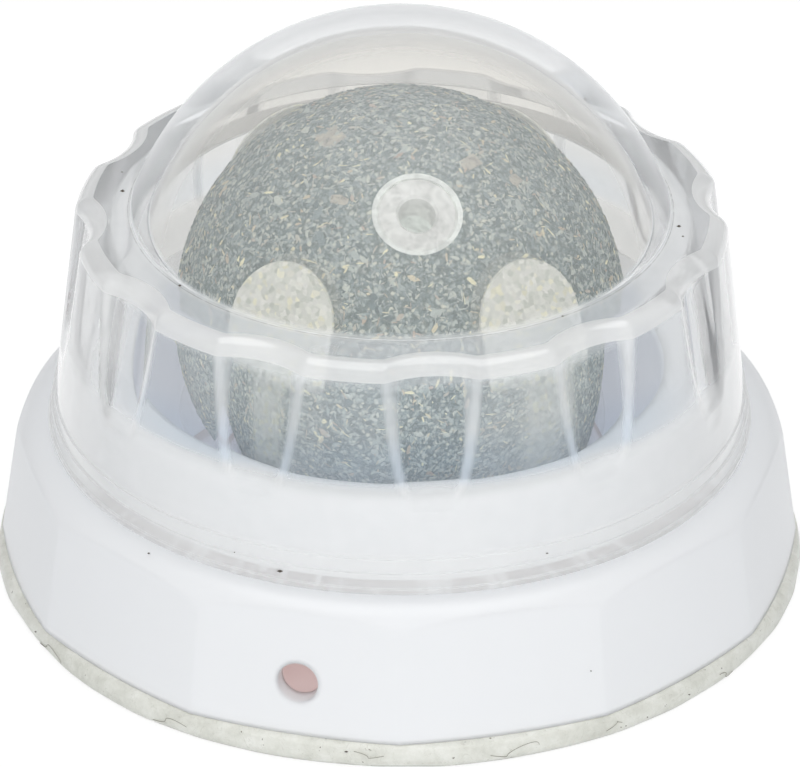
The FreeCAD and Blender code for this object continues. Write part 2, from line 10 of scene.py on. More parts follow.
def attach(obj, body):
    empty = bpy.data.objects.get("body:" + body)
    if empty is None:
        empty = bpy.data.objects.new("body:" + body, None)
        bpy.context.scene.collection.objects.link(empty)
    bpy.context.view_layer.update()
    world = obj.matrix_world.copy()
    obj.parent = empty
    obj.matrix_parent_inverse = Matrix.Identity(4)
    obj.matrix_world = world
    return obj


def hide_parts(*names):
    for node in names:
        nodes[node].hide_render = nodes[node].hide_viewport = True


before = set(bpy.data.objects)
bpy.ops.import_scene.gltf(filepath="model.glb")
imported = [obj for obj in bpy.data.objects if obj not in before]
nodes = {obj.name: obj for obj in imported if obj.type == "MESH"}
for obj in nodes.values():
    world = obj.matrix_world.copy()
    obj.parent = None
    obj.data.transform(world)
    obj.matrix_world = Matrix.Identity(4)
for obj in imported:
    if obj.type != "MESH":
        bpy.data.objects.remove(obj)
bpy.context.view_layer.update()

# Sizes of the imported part, in mm and degrees from the front

MM = 0.001
DECK = 12.0
DECK_WALL = 0.8
BALL_CENTRE = Vector((0, 0, 20.65))
BALL_RADIUS = 16.6
CLAW_OUT = 18.1
CLAW_BEARING = 33.0
CLAW_TURN = 1.75
CLAW_TIP_FROST = (22.8, 24.6)
CLAW_STEM = (1.2, 2.4)
CORE_BEARING = 7.1
CORE_TILT = 53.8
CORE_CLEAR = 3.42
COLLAR_INSIDE = 19.5
CUP_WALL = 20.6
SIDE_WALL = 26.6
SHELL_BEVEL = 0.7
PAINTED_WALL_GLOW = 0.2

scene = bpy.context.scene
scene.view_settings.view_transform = "Standard"


# Node helpers

def new_material(name):
    """An empty material, its node tree and its output node."""
    mat = bpy.data.materials.new(name)
    mat.use_nodes = True
    tree = mat.node_tree
    tree.nodes.clear()
    out = tree.nodes.new("ShaderNodeOutputMaterial")
    return mat, tree, out


def principled(tree, color, roughness, **extra):
    bsdf = tree.nodes.new("ShaderNodeBsdfPrincipled")
    bsdf.inputs["Base Color"].default_value = (*color, 1)
    bsdf.inputs["Roughness"].default_value = roughness
    for key, value in extra.items():
        bsdf.inputs[key.replace("_", " ")].default_value = value
    return bsdf


def srgb(r, g, b):
    """Linear colour from sRGB values of 0 to 255."""
    def lin(c):
        c /= 255
        return c / 12.92 if c <= 0.04045 else ((c + 0.055) / 1.055) ** 2.4
    return (lin(r), lin(g), lin(b))


def ramp(tree, value, stops):
    """Colour between the stops, each a place from 0 to 1 and a colour."""
    made = tree.nodes.new("ShaderNodeValToRGB")
    while len(made.color_ramp.elements) < len(stops):
        made.color_ramp.elements.new(0.5)
    for element, (place, color) in zip(made.color_ramp.elements, stops):
        element.position = place
        element.color = (*color, 1)
    tree.links.new(value, made.inputs["Fac"])
    return made.outputs["Color"]


def noise(tree, coords, scale, detail=3.0, roughness=0.5, distortion=0.0):
    made = tree.nodes.new("ShaderNodeTexNoise")
    made.inputs["Scale"].default_value = scale
    made.inputs["Detail"].default_value = detail
    made.inputs["Roughness"].default_value = roughness
    made.inputs["Distortion"].default_value = distortion
    tree.links.new(coords, made.inputs["Vector"])
    return made


def voronoi(tree, coords, scale):
    """Cells, and the red and green parts of each cell's own colour, to pick from."""
    cells = tree.nodes.new("ShaderNodeTexVoronoi")
    cells.inputs["Scale"].default_value = scale
    tree.links.new(coords, cells.inputs["Vector"])
    pick = tree.nodes.new("ShaderNodeSeparateColor")
    tree.links.new(cells.outputs["Color"], pick.inputs[0])
    return cells, pick.outputs[0], pick.outputs[1]


def ridges(tree, pattern, width, strength):
    """Thin lines where a noise crosses its middle value."""
    off = math_node(tree, "SUBTRACT", pattern.outputs["Fac"], 0.5)
    return map_range(tree, math_node(tree, "ABSOLUTE", off), 0.0, width, strength, 0.0)


def object_coords(tree):
    return tree.nodes.new("ShaderNodeTexCoord").outputs["Object"]


def attribute(tree, name):
    made = tree.nodes.new("ShaderNodeAttribute")
    made.attribute_name = name
    return made.outputs["Fac"]


def xyz(tree, coords):
    split = tree.nodes.new("ShaderNodeSeparateXYZ")
    tree.links.new(coords, split.inputs[0])
    return split.outputs


def mix_shader(tree, share, first, second):
    """The first shader, and the second where share is 1."""
    made = tree.nodes.new("ShaderNodeMixShader")
    for socket, value in zip(made.inputs, (share, first, second)):
        tree.links.new(value, socket)
    return made.outputs[0]


def bump(tree, height, strength, distance, target):
    made = tree.nodes.new("ShaderNodeBump")
    made.inputs["Strength"].default_value = strength
    made.inputs["Distance"].default_value = distance
    tree.links.new(height, made.inputs["Height"])
    tree.links.new(made.outputs["Normal"], target)
    return made


def mix_color(tree, fac, a, b):
    made = tree.nodes.new("ShaderNodeMix")
    made.data_type = "RGBA"
    for socket, value in ((made.inputs[0], fac), (made.inputs[6], a), (made.inputs[7], b)):
        if isinstance(value, (int, float)):
            socket.default_value = value
        elif isinstance(value, tuple):
            socket.default_value = (*value, 1)
        else:
            tree.links.new(value, socket)
    return made.outputs[2]


def math_node(tree, operation, a, b=None, clamp=False):
    made = tree.nodes.new("ShaderNodeMath")
    made.operation = operation
    made.use_clamp = clamp
    for socket, value in zip(made.inputs, (a, b)):
        if value is None:
            continue
        if isinstance(value, (int, float)):
            socket.default_value = value
        else:
            tree.links.new(value, socket)
    return made.outputs[0]


def map_range(tree, value, low, high, to_low=0.0, to_high=1.0, smooth=False):
    made = tree.nodes.new("ShaderNodeMapRange")
    if smooth:
        made.interpolation_type = "SMOOTHSTEP"
    for name, number in (("From Min", low), ("From Max", high), ("To Min", to_low),
                         ("To Max", to_high)):
        made.inputs[name].default_value = number
    tree.links.new(value, made.inputs["Value"])
    return made.outputs["Result"]


# Materials

def painted_wall_glow(tree, coords, bsdf):
    """Painted glow: emission lightens the shade, a little warm in the hollow behind the side hole
    and bluish in the collar round the cup, in place of daylight that comes through the white shell's
    thin walls."""
    place = xyz(tree, coords)
    square = math_node(tree, "ADD", math_node(tree, "POWER", place["X"], 2.0),
                       math_node(tree, "POWER", place["Y"], 2.0))
    radius = math_node(tree, "SQRT", square)
    in_collar = math_node(tree, "LESS_THAN", radius, COLLAR_INSIDE * MM)
    outside_cup = math_node(tree, "GREATER_THAN", radius, CUP_WALL * MM)
    inside_wall = math_node(tree, "LESS_THAN", radius, SIDE_WALL * MM)
    under_deck = math_node(tree, "LESS_THAN", place["Z"], (DECK - DECK_WALL) * MM)
    hollow = math_node(tree, "MULTIPLY", outside_cup,
                       math_node(tree, "MULTIPLY", inside_wall, under_deck))
    # Painted glow colours and level: warm in the hollow, bluish in the collar
    glow = mix_color(tree, in_collar, srgb(232, 196, 190), srgb(206, 212, 232))
    tree.links.new(glow, bsdf.inputs["Emission Color"])
    level = math_node(tree, "ADD", math_node(tree, "MULTIPLY", hollow, PAINTED_WALL_GLOW),
                      math_node(tree, "MULTIPLY", in_collar, PAINTED_WALL_GLOW))
    tree.links.new(level, bsdf.inputs["Emission Strength"])


def white_plastic():
    """Injection-moulded white plastic with a faint cloud in its colour and a fine satin skin."""
    mat, tree, out = new_material("white_plastic")
    bsdf = principled(tree, (0.9, 0.915, 0.93), 0.3)
    coords = object_coords(tree)
    cloud = noise(tree, coords, 60, 2)
    tint = mix_color(tree, cloud.outputs["Fac"], (0.895, 0.9, 0.91), (0.915, 0.92, 0.93))
    tree.links.new(tint, bsdf.inputs["Base Color"])
    fine = noise(tree, coords, 1200, 2)
    tree.links.new(map_range(tree, fine.outputs["Fac"], 0.3, 0.7, 0.29, 0.33),
                   bsdf.inputs["Roughness"])
    soft = tree.nodes.new("ShaderNodeBevel")
    soft.samples = 4
    soft.inputs["Radius"].default_value = SHELL_BEVEL * MM
    grain = bump(tree, fine.outputs["Fac"], 0.03, 0.00003, bsdf.inputs["Normal"])
    tree.links.new(soft.outputs[0], grain.inputs["Normal"])
    # Painted glow in the hollow and the collar
    painted_wall_glow(tree, coords, bsdf)
    tree.links.new(bsdf.outputs[0], out.inputs["Surface"])
    return mat


def claw_plane_distance(tree, coords, bearing):
    """Distance from the upright plane through the axis and the claws at a bearing."""
    turn = math.radians(bearing)
    dot = tree.nodes.new("ShaderNodeVectorMath")
    dot.operation = "DOT_PRODUCT"
    tree.links.new(coords, dot.inputs[0])
    dot.inputs[1].default_value = (math.cos(turn), math.sin(turn), 0)
    return math_node(tree, "ABSOLUTE", dot.outputs["Value"])


def frost_spread(tree, coords):
    """Where the claws are frosted: on their outer skin alone, in full at the tips and down the
    middle of the stems."""
    from_ball = tree.nodes.new("ShaderNodeVectorMath")
    from_ball.operation = "DISTANCE"
    tree.links.new(coords, from_ball.inputs[0])
    from_ball.inputs[1].default_value = BALL_CENTRE * MM
    outer = map_range(tree, from_ball.outputs["Value"], (CLAW_OUT - 0.3) * MM,
                      (CLAW_OUT - 0.1) * MM, 0.1, 1.0)
    middle = math_node(tree, "MINIMUM", claw_plane_distance(tree, coords, CLAW_TURN + CLAW_BEARING),
                       claw_plane_distance(tree, coords, CLAW_TURN - CLAW_BEARING))
    stem = map_range(tree, middle, CLAW_STEM[0] * MM, CLAW_STEM[1] * MM, 0.5, 0.1)
    tip = map_range(tree, xyz(tree, coords)["Z"], CLAW_TIP_FROST[0] * MM, CLAW_TIP_FROST[1] * MM,
                    smooth=True)
    below = math_node(tree, "MULTIPLY", stem, math_node(tree, "SUBTRACT", 1.0, tip))
    return math_node(tree, "MULTIPLY", outer, math_node(tree, "ADD", below, tip))


def frosted_plastic():
    """Soft plastic of the claws: frosted at the tips, clearer down the stems but for their middle.
    Crumbs of the ball cling to it."""
    mat, tree, out = new_material("frosted_plastic")
    bsdf = principled(tree, srgb(240, 240, 230), 0.5)
    coords = object_coords(tree)
    _, tone, depth = voronoi(tree, coords, 2700)
    tones = ramp(tree, tone, [(0.0, srgb(212, 215, 204)), (0.25, srgb(238, 240, 230)),
                              (0.8, srgb(250, 250, 244)), (0.93, srgb(255, 252, 222))])
    tree.links.new(tones, bsdf.inputs["Base Color"])
    frost = map_range(tree, depth, 0.0, 1.0, 0.64, 0.86)
    alpha = math_node(tree, "MULTIPLY", frost, frost_spread(tree, coords))
    tree.links.new(alpha, bsdf.inputs["Alpha"])
    bump(tree, depth, 0.15, 0.0001, bsdf.inputs["Normal"])
    tree.links.new(bsdf.outputs[0], out.inputs["Surface"])
    return mat


def ball_ground():
    """Crumbs and fibres of pressed leaf between the larger chips, with painted shade in the gaps
    between crumbs.
    """
    mat, tree, out = new_material("pressed_leaf")
    bsdf = principled(tree, (0.25, 0.28, 0.25), 0.8)
    coords = object_coords(tree)
    warp = noise(tree, coords, 1100, 2, 0.5)
    bend = tree.nodes.new("ShaderNodeVectorMath")
    bend.operation = "MULTIPLY_ADD"
    tree.links.new(warp.outputs["Color"], bend.inputs[0])
    bend.inputs[1].default_value = (0.9 * MM, 0.9 * MM, 0.9 * MM)
    tree.links.new(coords, bend.inputs[2])
    crumbs, tone, depth = voronoi(tree, bend.outputs[0], 3300)
    tones = ramp(tree, tone, [(0.0, srgb(89, 109, 112)), (0.3, srgb(121, 140, 142)),
                              (0.6, srgb(155, 170, 170)), (0.85, srgb(186, 195, 191)),
                              (1.0, srgb(212, 214, 200))])
    strand = ridges(tree, noise(tree, coords, 2100, 2, 0.5, 3.5), 0.03, 0.75)
    color = mix_color(tree, strand, tones, srgb(200, 208, 198))
    # Painted shade: the leaf darkens towards the gaps between crumbs
    leaf_gap_shade = map_range(tree, crumbs.outputs["Distance"], 0.35, 0.8, 0.0, 0.75)
    color = mix_color(tree, leaf_gap_shade, color, srgb(76, 95, 95))
    tree.links.new(color, bsdf.inputs["Base Color"])
    bump(tree, depth, 0.6, 0.0001, bsdf.inputs["Normal"])
    tree.links.new(bsdf.outputs[0], out.inputs["Surface"])
    return mat


def chip_material():
    """Silvervine chips: each takes its own tone, from dark leaf over grey-green to pale wood."""
    mat, tree, out = new_material("silvervine_chips")
    bsdf = principled(tree, (0.3, 0.32, 0.27), 0.75)
    own = tree.nodes.new("ShaderNodeNewGeometry").outputs["Random Per Island"]
    tones = ramp(tree, own, [
        (0.0, srgb(83, 103, 107)), (0.2, srgb(113, 132, 135)), (0.42, srgb(149, 165, 166)),
        (0.62, srgb(178, 189, 187)), (0.82, srgb(206, 212, 203)), (0.9, srgb(186, 170, 156)),
        (0.96, srgb(232, 226, 192)), (1.0, srgb(250, 246, 208)),
    ])
    fibre = noise(tree, object_coords(tree), 3000, 3, 0.6)
    shade = mix_color(tree, fibre.outputs["Fac"], (0.72, 0.72, 0.72), (1.2, 1.2, 1.2))
    tint = tree.nodes.new("ShaderNodeMix")
    tint.data_type = "RGBA"
    tint.blend_type = "MULTIPLY"
    tint.inputs[0].default_value = 1.0
    tree.links.new(tones, tint.inputs[6])
    tree.links.new(shade, tint.inputs[7])
    tree.links.new(tint.outputs[2], bsdf.inputs["Base Color"])
    bump(tree, fibre.outputs["Fac"], 0.3, 0.0001, bsdf.inputs["Normal"])
    tree.links.new(bsdf.outputs[0], out.inputs["Surface"])
    return mat


def core_plastic(name, color, glow):
    """Milky translucent plastic with streaks of its own flow; a painted glow in its own tones lightens
    its shade, in place of daylight that seeps through its wall.
    """
    mat, tree, out = new_material(name)
    bsdf = principled(tree, color, 0.35)
    streak = noise(tree, object_coords(tree), 900, 4, 0.6, 1.2)
    low = tuple(c * 0.76 for c in color)
    high = tuple(min(1.0, c * 1.12) for c in color)
    tones = ramp(tree, streak.outputs["Fac"], [(0.35, low), (0.65, high)])
    tree.links.new(tones, bsdf.inputs["Base Color"])
    # Painted glow: the plastic emits its streak tones, lightening its shade
    tree.links.new(tones, bsdf.inputs["Emission Color"])
    bsdf.inputs["Emission Strength"].default_value = glow
    bump(tree, streak.outputs["Fac"], 0.25, 0.0002, bsdf.inputs["Normal"])
    tree.links.new(bsdf.outputs[0], out.inputs["Surface"])
    return mat


def gel_material():
    """Tacky gel: off-white, a little green, creased, with painted shade in thin lines for its creases
    and dust stuck to its rim.
    """
    mat, tree, out = new_material("gel")
    bsdf = principled(tree, srgb(228, 228, 218), 0.3)
    coords = object_coords(tree)
    cloud = noise(tree, coords, 500, 5, 0.7)
    tones = ramp(tree, cloud.outputs["Fac"], [
        (0.3, srgb(212, 212, 202)), (0.5, srgb(228, 228, 219)), (0.7, srgb(240, 240, 233))])
    # Painted shade: thin darker lines stand for the shade in creases
    crease_shade = ridges(tree, noise(tree, coords, 420, 3, 0.6, 2.0), 0.008, 0.3)
    color = mix_color(tree, crease_shade, tones, srgb(176, 174, 160))
    dust = noise(tree, coords, 2200, 3, 0.6)
    spots = map_range(tree, dust.outputs["Fac"], 0.69, 0.74)
    color = mix_color(tree, spots, color, srgb(120, 112, 100))
    tree.links.new(color, bsdf.inputs["Base Color"])
    bump(tree, cloud.outputs["Fac"], 0.5, 0.0003, bsdf.inputs["Normal"])
    tree.links.new(bsdf.outputs[0], out.inputs["Surface"])
    return mat


CLEAR = (0.97, 0.975, 0.98)
MILKY = (0.86, 0.86, 0.848)
WARM_TINT = (0.85, 0.815, 0.755)
# Bluish tint, painted shade of the ball's underside seen through the skirt
PAINTED_BLUE_SHADE = (0.74, 0.82, 0.91)


def pass_lamps(tree, shader):
    """Rays from lamps pass straight through the shader's piece, so that what stands inside is lit as
    softly as the outside."""
    path = tree.nodes.new("ShaderNodeLightPath")
    lamps = math_node(tree, "MAXIMUM", path.outputs["Is Shadow Ray"],
                      path.outputs["Is Diffuse Ray"])
    clear = tree.nodes.new("ShaderNodeBsdfTransparent")
    clear.inputs["Color"].default_value = (*CLEAR, 1)
    return mix_shader(tree, lamps, shader, clear.outputs[0])


def cover_material(name, ior, coat, sheen, rise, glow):
    """Clear moulded plastic, milky, warm-tinted, tinted bluish as painted shade and darker in a patchy
    ring where the mesh says so. Seen edge on, the milky wall hides more by the share rise, and its haze
    has a painted glow, an emission standing in for the light it passes."""
    mat, tree, out = new_material(name)
    bsdf = principled(tree, CLEAR, 0.0, IOR=ior, Coat_Weight=coat, Coat_Roughness=0.03,
                      Sheen_Weight=sheen, Sheen_Roughness=0.3)
    coords = object_coords(tree)
    cloud = noise(tree, coords, 90, 3, 0.6)
    uneven = map_range(tree, cloud.outputs["Fac"], 0.3, 0.7, 0.88, 1.12)
    level = math_node(tree, "MULTIPLY", attribute(tree, "milk"), uneven)
    patches = map_range(tree, noise(tree, coords, 1500, 3).outputs["Fac"], 0.4, 0.6, 0.2, 1.0)
    # A darker, patchy ring at the dome's root
    ring_darkness = math_node(tree, "MULTIPLY", attribute(tree, "dark_root"), patches)
    color = mix_color(tree, level, CLEAR, MILKY)
    color = mix_color(tree, attribute(tree, "warm"), color, WARM_TINT)
    # Painted shade: bluish tint where the shaded underside of the ball shows through the skirt
    color = mix_color(tree, attribute(tree, "blue_shade"), color, PAINTED_BLUE_SHADE)
    color = mix_color(tree, ring_darkness, color, srgb(96, 92, 84))
    tree.links.new(color, bsdf.inputs["Base Color"])
    weight = tree.nodes.new("ShaderNodeLayerWeight")
    weight.inputs["Blend"].default_value = 0.5
    edge_on = map_range(tree, weight.outputs["Facing"], 0.45, 0.95, smooth=True)
    rim = math_node(tree, "ADD", math_node(tree, "MULTIPLY", edge_on, rise), 1.0)
    amount = math_node(tree, "MULTIPLY", level, rim, clamp=True)
    amount = math_node(tree, "MAXIMUM", amount, ring_darkness)
    tree.links.new(math_node(tree, "SUBTRACT", 1.0, amount), bsdf.inputs["Transmission Weight"])
    # Painted glow: the milky haze emits light, less on the darker ring
    glow_beside_ring = math_node(tree, "SUBTRACT", glow, ring_darkness, clamp=True)
    tree.links.new(math_node(tree, "MULTIPLY", level, glow_beside_ring), bsdf.inputs["Emission Strength"])
    tree.links.new(pass_lamps(tree, bsdf.outputs[0]), out.inputs["Surface"])
    return mat


# Mesh helpers

def mesh_object(name, verts, faces, material, smooth=True):
    mesh = bpy.data.meshes.new(name)
    mesh.from_pydata([tuple(v) for v in verts], [], faces)
    mesh.validate()
    mesh.materials.append(material)
    mesh.polygons.foreach_set("use_smooth", [smooth] * len(mesh.polygons))
    mesh.update()
    obj = bpy.data.objects.new(name, mesh)
    scene.collection.objects.link(obj)
    return obj


def set_material(name, material):
    mesh = nodes[name].data
    mesh.materials.clear()
    mesh.materials.append(material)


def corner_arc(before, corner, after, radius, steps=3):
    """Points of a small round in place of a corner of a profile."""
    a = np.subtract(before, corner)
    b = np.subtract(after, corner)
    la, lb = np.linalg.norm(a), np.linalg.norm(b)
    reach = min(radius, 0.4 * la, 0.4 * lb)
    start = np.add(corner, a / la * reach)
    end = np.add(corner, b / lb * reach)
    points = []
    for step in range(steps + 1):
        t = step / steps
        p = (1 - t) ** 2 * start + 2 * t * (1 - t) * np.array(corner) + t ** 2 * end
        points.append((float(p[0]), float(p[1])))
    return points


def band_faces(first, second, columns):
    """Faces between two rings, each given as the place of its first vertex and whether it is a pole,
    which has one vertex for all columns."""
    (a, a_is_pole), (b, b_is_pole) = first, second
    faces = []
    for c in range(columns):
        d = (c + 1) % columns
        if b_is_pole:
            faces.append((a + c, a + d, b))
        elif a_is_pole:
            faces.append((a, b + d, b + c))
        else:
            faces.append((a + c, a + d, b + d, b + c))
    return faces


def flake_faces(base, sides):
    """Faces of a thin closed flake: its outline from base on, then its top and its bottom."""
    faces = []
    for k in range(sides):
        n = (k + 1) % sides
        faces.append((base + k, base + n, base + sides))
        faces.append((base + n, base + k, base + sides + 1))
    return faces


# Dust cover, its heights above the deck

MOUTH = 23.7
MOUTH_EDGE = 0.12
FLANGE_OUT = 26.25
FLANGE_TOP = 0.45
BEAD_OUT = 26.0
BEAD_TOP = 1.55
STEP_OUT = 25.8
STEP_EDGE = 0.07
SKIRT_FOOT = (25.65, 2.6)
SKIRT_AIM = (25.4, 4.8)
SKIRT_TOP = (23.9, 17.25)
SKIRT_LOW = (3.0, 5.0)
SHOULDER = 17.25
UNDER = SHOULDER - 1.4
EDGE = 1.2
WALL = 1.35
INNER_EDGE = 0.25
DOME_CENTRE = 10.3
DOME_OUT = 21.1
DOME_IN = 19.1
DOME_ROOT = math.sqrt(DOME_OUT ** 2 - (SHOULDER - DOME_CENTRE) ** 2)
ROOT_ROUND = 0.35
FLUTES = 12
FLUTE_BEARING = 5.4
FLUTE_RADIUS = 7.2
FLUTE_FOOT = 6.3
FLUTE_START = 5.3
FLUTE_DEPTH = 1.1
FLUTE_RISE = 0.47
RIDGE = 0.22
COLUMNS = 60 * FLUTES


def skirt_radius(z):
    """Outer radius of the tapered skirt between its flutes."""
    share = (z - SKIRT_FOOT[1]) / (SKIRT_TOP[1] - SKIRT_FOOT[1])
    return SKIRT_FOOT[0] + share * (SKIRT_TOP[0] - SKIRT_FOOT[0])


def flute_depth(z):
    """Depth of the flutes at a height: they deepen fast above their foot, so their sides are steep."""
    share = max(0.0, (z - FLUTE_FOOT) / (SHOULDER - FLUTE_FOOT))
    return FLUTE_DEPTH * share ** FLUTE_RISE


def off_flute(bearing):
    """Angle in radians from the middle of the nearest flute."""
    step = 360 / FLUTES
    return math.radians((bearing - FLUTE_BEARING + step / 2) % step - step / 2)


def scoop_radius(bearing, z):
    """Outer radius of the nearest flute's scoop at a bearing, or None outside it."""
    axis = skirt_radius(z) - flute_depth(z) + FLUTE_RADIUS
    off = off_flute(bearing)
    inside = FLUTE_RADIUS ** 2 - (axis * math.sin(off)) ** 2
    if inside <= 0:
        return None
    return axis * math.cos(off) - math.sqrt(inside)


def smooth_min(a, b, k):
    """The smaller of two values, rounded where they are less than k apart."""
    h = max(k - abs(a - b), 0) / k
    return min(a, b) - h * h * k / 4


def outer_radius(bearing, z):
    """Outer radius of the skirt, the ridges between its flutes rounded."""
    plain = skirt_radius(z)
    scoop = scoop_radius(bearing, z)
    if scoop is None or z < FLUTE_START:
        return plain
    return smooth_min(plain, scoop, RIDGE)


def edge_point(bearing, angle):
    """A point of the rounded wavy edge, at an angle from the skirt round to the shoulder."""
    low = outer_radius(bearing, SHOULDER - EDGE)
    top = outer_radius(bearing, SHOULDER) - EDGE
    return (top + (low - top) * math.cos(angle), SHOULDER - EDGE + EDGE * math.sin(angle))


def round_rings(zone, points):
    """Rings that have the same radius and height at every bearing."""
    return [(lambda bearing, point=point: point, zone) for point in points]


def dome_points(radius, angles):
    """Points of the dome's outside or inside, at angles above its centre."""
    return [(radius * math.cos(a), DOME_CENTRE + radius * math.sin(a)) for a in angles]


def foot_rings():
    """Flange, bead and step round the mouth, up to the foot of the skirt."""
    profile = [(MOUTH, 0.0), (FLANGE_OUT, 0.0), (FLANGE_OUT, FLANGE_TOP), (BEAD_OUT, FLANGE_TOP),
               (BEAD_OUT, BEAD_TOP), (STEP_OUT, BEAD_TOP), (STEP_OUT, SKIRT_FOOT[1]), SKIRT_FOOT,
               SKIRT_AIM]
    rings = []
    for i in range(1, len(profile) - 1):
        at_step = profile[i][1] == SKIRT_FOOT[1]
        points = corner_arc(*profile[i - 1:i + 2], STEP_EDGE if at_step else MOUTH_EDGE)
        rings += round_rings("foot", points)
    return rings


def skirt_rings():
    """The fluted skirt and its wavy edge, then the flat shoulder as far as the dome's root."""
    rings = []
    low, fluted = np.linspace(*SKIRT_LOW, 5), np.linspace(FLUTE_START, SHOULDER - EDGE, 44)
    for z in (*low, *fluted):
        rings.append((lambda bearing, z=float(z): (outer_radius(bearing, z), z), "skirt"))
    steps = 12
    for step in (0.2, *range(1, steps + 1)):
        angle = step / steps * math.pi / 2
        rings.append((lambda bearing, angle=angle: edge_point(bearing, angle), "edge"))
    shoulder_end = DOME_ROOT + 0.3
    for share in (0.03, *np.linspace(0.15, 0.9, 6)):
        rings.append((lambda bearing, share=float(share): (
            (1 - share) * (outer_radius(bearing, SHOULDER) - EDGE) + share * shoulder_end,
            SHOULDER), "shoulder"))
    return rings


def dome_rings():
    """The dome's rounded root, its outside up to the pole and its inside down from there."""
    lift = math.asin((SHOULDER + ROOT_ROUND - DOME_CENTRE) / DOME_OUT)
    on_dome = dome_points(DOME_OUT, [lift])[0]
    root = corner_arc((DOME_ROOT + 0.6, SHOULDER), (DOME_ROOT, SHOULDER), on_dome, ROOT_ROUND, 5)
    outside = np.linspace(lift + 0.01, math.pi / 2, 56)[:-1]
    low = math.asin((UNDER - DOME_CENTRE) / DOME_IN)
    inside = np.linspace(math.pi / 2, low, 48)[1:-1]
    poles = [("pole", DOME_CENTRE + DOME_OUT, "dome"), ("pole", DOME_CENTRE + DOME_IN, "dome_in")]
    return [*round_rings("root", root), *round_rings("dome", dome_points(DOME_OUT, outside)), *poles,
            *round_rings("dome_in", dome_points(DOME_IN, inside))]


def inner_rings():
    """Under the shoulder, then down the inside of the wall to the mouth."""
    root = DOME_IN * math.cos(math.asin((UNDER - DOME_CENTRE) / DOME_IN))
    top = SKIRT_TOP[0] - FLUTE_DEPTH - WALL
    profile = [(root + 0.001, UNDER + 0.4), (root, UNDER), (top, UNDER), (MOUTH, 0.0),
               (MOUTH + 0.8, 0.0)]
    under, wall_top, mouth = [corner_arc(*profile[i - 1:i + 2], size) for i, size in
                              ((1, INNER_EDGE), (2, INNER_EDGE), (3, MOUTH_EDGE))]
    wall = [(top + share * (MOUTH - top), UNDER * (1 - share)) for share in np.linspace(0.03, 0.97, 26)]
    return round_rings("inside", [*under, *wall_top, *wall, *mouth])


def cover_rings():
    """Rings of the cover from the mouth's inner edge over the outside to the apex, then inside. Each
    is a function of the bearing that gives radius and height, and a zone; a pole is a height."""
    return [*foot_rings(), *skirt_rings(), *dome_rings(), *inner_rings()]


def blend(value, low, high):
    """Smooth share of the way from low to high."""
    t = min(1.0, max(0.0, (value - low) / (high - low)))
    return t * t * (3 - 2 * t)


# How milky each zone is, from 0 to 1; dome and skirt have values of their own
MILK = {"foot": 0.62, "edge": 0.74, "shoulder": 0.3, "root": 0.35, "dome_in": 0.11, "inside": 0.04}
SKIRT_FOOT_MILK = 0.5
LOBE_MILK = 0.22
FLUTE_MILK = 0.1
FLUTE_BAND_MILK = 0.2
FLUTE_LINE_MILK = 0.3
DOME_MILK = 0.06
DOME_TOP_MILK = 0.09
UNDER_MILK_DEPTH = 2.5

# Heights between which the skirt's painted bluish shade comes in and fades, and the darker ring of the
# root
SHADE_TINT_RISE = (7.8, 8.8)
SHADE_TINT_FADE = (9.4, 13.0)
DARKER_RING_PLACE = 2
RING_DARKENING = 0.75


def skirt_milk(bearing, z):
    """Lobes hazy, flutes clear between a milky band down each side, everything milky at the foot."""
    foot = 1 - blend(z, FLUTE_FOOT + 0.6, FLUTE_FOOT + 2.4)
    half = math.sqrt(2 * flute_depth(z) / (1 / FLUTE_RADIUS + 1 / SKIRT_TOP[0]))
    inside = half - skirt_radius(z) * abs(off_flute(bearing))
    window = 0.84 - 0.18 * blend(z, 9.0, SHOULDER)
    band = blend(1 - inside / max(half, EDGE), window - 0.05, window + 0.03)
    line = 1 - blend(inside, 0.25, 0.75)
    flute = FLUTE_MILK + FLUTE_BAND_MILK * band + FLUTE_LINE_MILK * line
    milk = flute + (LOBE_MILK - flute) * blend(-inside, -0.05, 0.4)
    return milk + (SKIRT_FOOT_MILK - milk) * foot


def milk_at(zone, bearing, z):
    """How milky the cover is in each of its zones."""
    if zone == "dome":
        up = (z - SHOULDER) / (DOME_CENTRE + DOME_OUT - SHOULDER)
        return DOME_MILK + DOME_TOP_MILK * up
    if zone == "skirt":
        return SKIRT_FOOT_MILK if z < FLUTE_FOOT else skirt_milk(bearing, z)
    if zone == "inside" and z > SHOULDER - UNDER_MILK_DEPTH:
        return MILK["shoulder"]
    return MILK[zone]


def warm_at(zone):
    """The inside of the dome takes a warm tint."""
    return 1.0 if zone == "dome_in" else 0.0


def bluish_shade_at(zone, bearing, z):
    """Painted shade: the skirt is tinted bluish before the dark ball, just above the collar, for the
    shaded underside of the ball seen there; the shoulder takes a little of it."""
    facing = blend(abs(math.cos(math.radians(bearing))), 0.45, 0.8)
    if zone == "shoulder":
        return 0.3 * facing
    if zone != "skirt":
        return 0.0
    return facing * blend(z, *SHADE_TINT_RISE) * (1 - 0.8 * blend(z, *SHADE_TINT_FADE))


def darker_ring_at(zone, place):
    """A darker, patchy ring in the corner where the dome meets the shoulder, on one ring of the root.
    """
    return RING_DARKENING if zone == "root" and place == DARKER_RING_PLACE else 0.0


